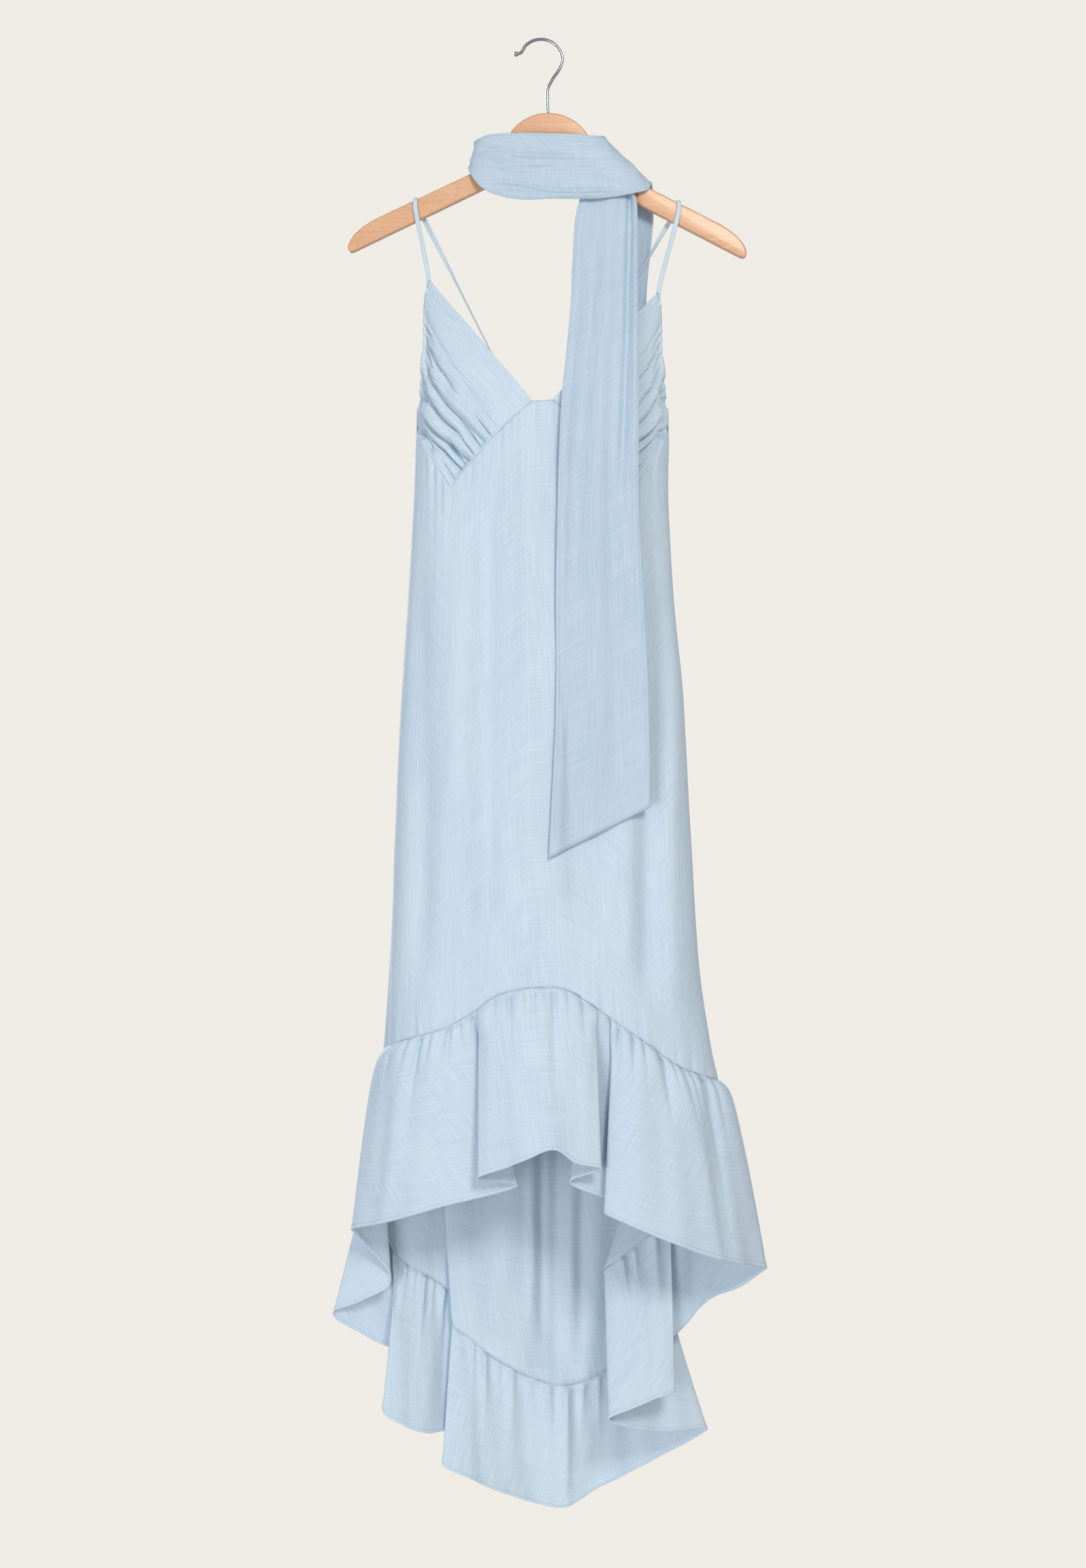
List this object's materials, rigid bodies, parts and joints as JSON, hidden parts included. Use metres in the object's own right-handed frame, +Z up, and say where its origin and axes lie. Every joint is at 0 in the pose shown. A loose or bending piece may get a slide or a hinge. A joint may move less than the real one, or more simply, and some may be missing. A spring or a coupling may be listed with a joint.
{
  "type": "high-low slip dress with matching scarf on a clothes hanger",
  "caption": "Long sleeveless slip dress with gathered cups, thin crossed straps and a deep high-low ruffle, hung with its matching scarf on a wooden hanger.",
  "frame": {"origin": "underside of the top of the hook's bend, where the hanger rests on a nail or rod", "axes": "+X to the right as seen from the front, -Y towards the front of the dress, +Z up"},
  "size_m": [0.4798, 0.2094, 1.6421],
  "materials": {
    "cloth": "matte woven, slubbed",
    "beech": "satin varnish",
    "hook_wire": "polished"
  },
  "bodies": {
    "root": {"front_panel": "cloth", "back_panel": "cloth", "ruffle_front": "cloth", "ruffle_back": "cloth", "cup_left": "cloth", "cup_right": "cloth", "strap_left": "cloth", "strap_right": "cloth", "scarf_front_tail": "cloth", "scarf_behind_neck": "cloth", "scarf_neck_wrap": "cloth", "scarf_back_tail": "cloth", "hanger_body": "beech", "hanger_hook": "hook_wire"}
  },
  "joints": []
}
